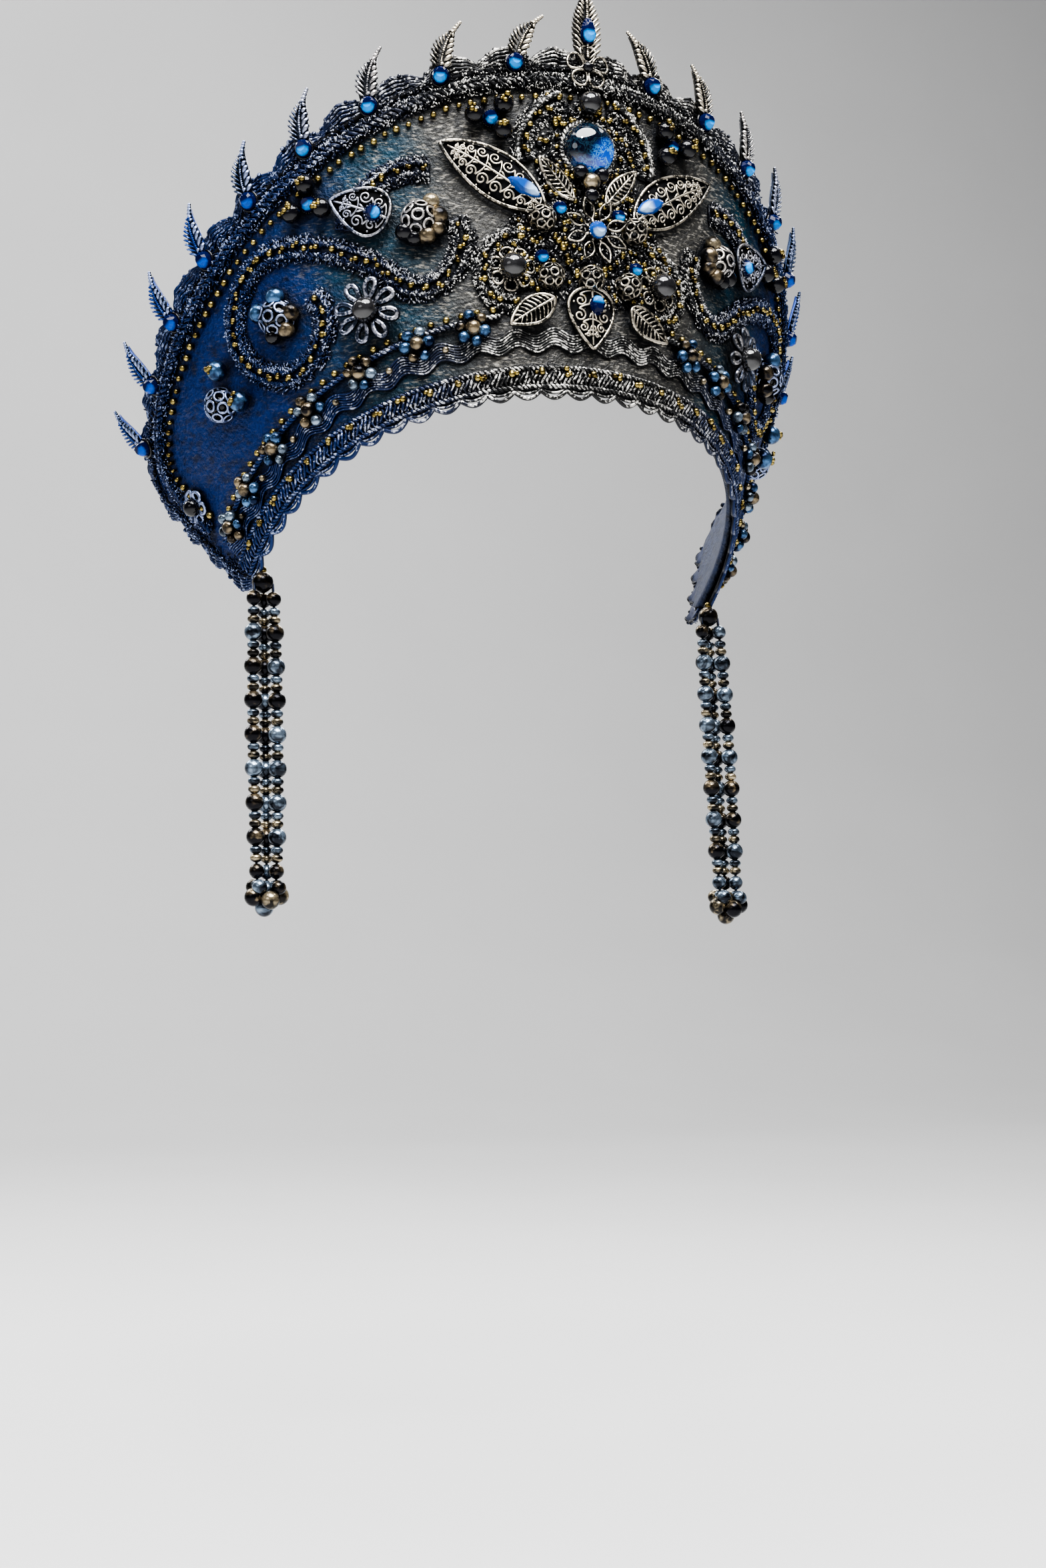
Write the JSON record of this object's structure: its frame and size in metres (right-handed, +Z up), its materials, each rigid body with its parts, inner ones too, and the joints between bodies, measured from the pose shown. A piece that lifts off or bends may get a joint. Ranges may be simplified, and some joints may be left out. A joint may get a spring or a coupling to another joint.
{
  "type": "kokoshnik headdress",
  "caption": "Stiff crescent headdress wall, open at the back, with lace edge, filigree leaves, stones, pearls and braid scrolls, and a bead drop at each temple.",
  "frame": {"origin": "midpoint between the wearer's ears, level with the lower rim there", "axes": "+Z up as worn, the front faces -Y, +X to the viewer's right"},
  "size_m": [0.2608, 0.135, 0.3125],
  "materials": {
    "wall_cloth": "painted cloth, cobalt at the sides, silver-grey with bronze dust at the front",
    "dark_lace": "stiff blue-black lace and cord with dry-brushed silver",
    "silver_braid": "metallic thread braid, silver and blue-grey",
    "silver_filigree": "antique silver casting with dark recesses",
    "blue_filigree": "casting rubbed with blue paint",
    "blue_glass": "polished blue glass",
    "dark_pearl": "dark grey pearl",
    "bronze_bead": "dark blue-bronze lacquered beads"
  },
  "bodies": {
    "root": {"crown_wall": "wall_cloth", "edge_lace": "dark_lace", "edge_cord": "dark_lace", "wave_lace": "dark_lace", "rim_braid": "silver_braid", "scroll_s_left": "silver_braid", "scroll_s_right": "silver_braid", "scroll_cap_left": "silver_braid", "scroll_cap_right": "silver_braid", "scroll_pearl_left": "silver_braid", "scroll_pearl_right": "silver_braid", "scroll_arch_left": "silver_braid", "scroll_arch_right": "silver_braid", "bead_band_left": "bronze_bead", "bead_band_right": "bronze_bead", "bead_nest_inner_left": "bronze_bead", "bead_nest_inner_right": "bronze_bead", "bead_nest_outer_left": "bronze_bead", "bead_nest_outer_right": "bronze_bead", "bead_trio_upper_left": "bronze_bead", "bead_trio_upper_right": "bronze_bead", "bead_trio_side_left": "bronze_bead", "bead_trio_side_right": "bronze_bead", "temple_drop_left": "bronze_bead", "temple_drop_right": "bronze_bead", "leaf_spike_center": "silver_filigree", "leaf_spike_left_1": "silver_filigree", "leaf_spike_right_1": "silver_filigree", "leaf_spike_left_2": "silver_filigree", "leaf_spike_right_2": "silver_filigree", "leaf_spike_left_3": "silver_filigree", "leaf_spike_right_3": "silver_filigree", "leaf_spike_left_4": "silver_filigree", "leaf_spike_right_4": "silver_filigree", "leaf_spike_left_5": "silver_filigree", "leaf_spike_right_5": "silver_filigree", "leaf_spike_left_6": "silver_filigree", "leaf_spike_right_6": "silver_filigree", "leaf_spike_left_7": "blue_filigree", "leaf_spike_right_7": "blue_filigree", "leaf_spike_left_8": "blue_filigree", "leaf_spike_right_8": "blue_filigree", "leaf_spike_left_9": "blue_filigree", "leaf_spike_right_9": "blue_filigree", "big_leaf_left": "silver_filigree", "big_leaf_right": "silver_filigree", "heart_leaf_left": "silver_filigree", "heart_leaf_right": "silver_filigree", "cabochon_leaf_left": "silver_filigree", "cabochon_leaf_right": "silver_filigree", "low_leaf_left": "silver_filigree", "low_leaf_right": "silver_filigree", "drop_leaf": "silver_filigree", "side_flower_left": "silver_filigree", "side_flower_right": "silver_filigree", "star_flower": "silver_filigree", "cabochon": "blue_glass", "crown_pearl": "dark_pearl", "pearl_flower_left": "dark_pearl", "pearl_flower_right": "dark_pearl"}
  },
  "joints": []
}
